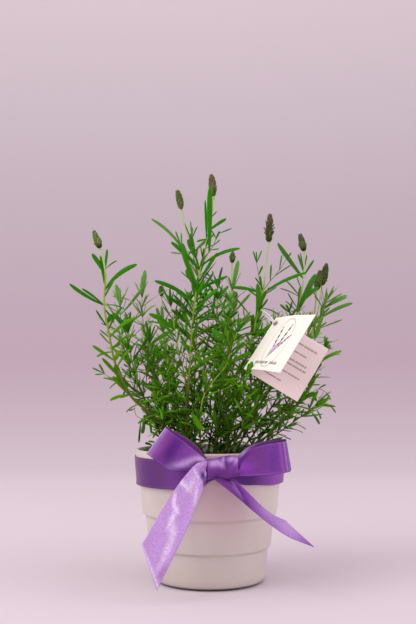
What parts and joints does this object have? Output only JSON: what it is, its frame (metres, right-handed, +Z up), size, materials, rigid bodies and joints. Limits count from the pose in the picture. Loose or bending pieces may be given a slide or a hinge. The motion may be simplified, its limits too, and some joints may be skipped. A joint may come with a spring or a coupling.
{
  "type": "potted lavender",
  "caption": "Lavender plant in a stepped white ceramic pot, tied with a satin ribbon bow and hung with a folded blank gift tag.",
  "frame": {"origin": "centre of the flat underside of the pot's foot", "axes": "+Z up out of the pot, -Y towards the side that the bow is tied on, +X to the right as the bow is faced"},
  "size_m": [0.2525, 0.2014, 0.3575],
  "materials": {
    "glaze": "satin",
    "peat": "matte",
    "stem": "satin",
    "bud": "matte",
    "ribbon": "satin",
    "card": "matte",
    "string": "matte"
  },
  "bodies": {
    "root": {"pot": "glaze", "soil": "peat", "stem_left": "stem", "stem_centre": "stem", "stem_centre_left": "stem", "stem_centre_slim": "stem", "stem_front": "stem", "stem_right_tall": "stem", "stem_right": "stem", "stem_right_back": "stem", "stem_right_inner": "stem", "stem_right_edge": "stem", "stem_right_mid": "stem", "stem_right_low": "stem", "stem_front_right": "stem", "stem_front_low": "stem", "stem_middle": "stem", "stem_heart": "stem", "stem_heart_back": "stem", "stem_back_tall": "stem", "stem_back": "stem", "stem_back_right": "stem", "stem_back_left": "stem", "stem_back_outer": "stem", "stem_left_back": "stem", "stem_left_far": "stem", "stem_left_mid": "stem", "stem_left_inner": "stem", "flower_spike_left": "bud", "flower_spike_centre": "bud", "flower_spike_centre_slim": "bud", "flower_spike_right_tall": "bud", "flower_spike_right": "bud", "flower_spike_right_back": "bud", "flower_spike_right_inner": "bud", "flower_spike_back_tall": "bud", "flower_spike_back": "bud", "flower_spike_back_left": "bud", "ribbon_band": "ribbon", "bow_knot": "ribbon", "bow_loop_left": "ribbon", "bow_loop_right": "ribbon", "bow_tail_left": "ribbon", "bow_tail_right": "ribbon", "gift_tag": "card", "tag_string": "string"}
  },
  "joints": []
}
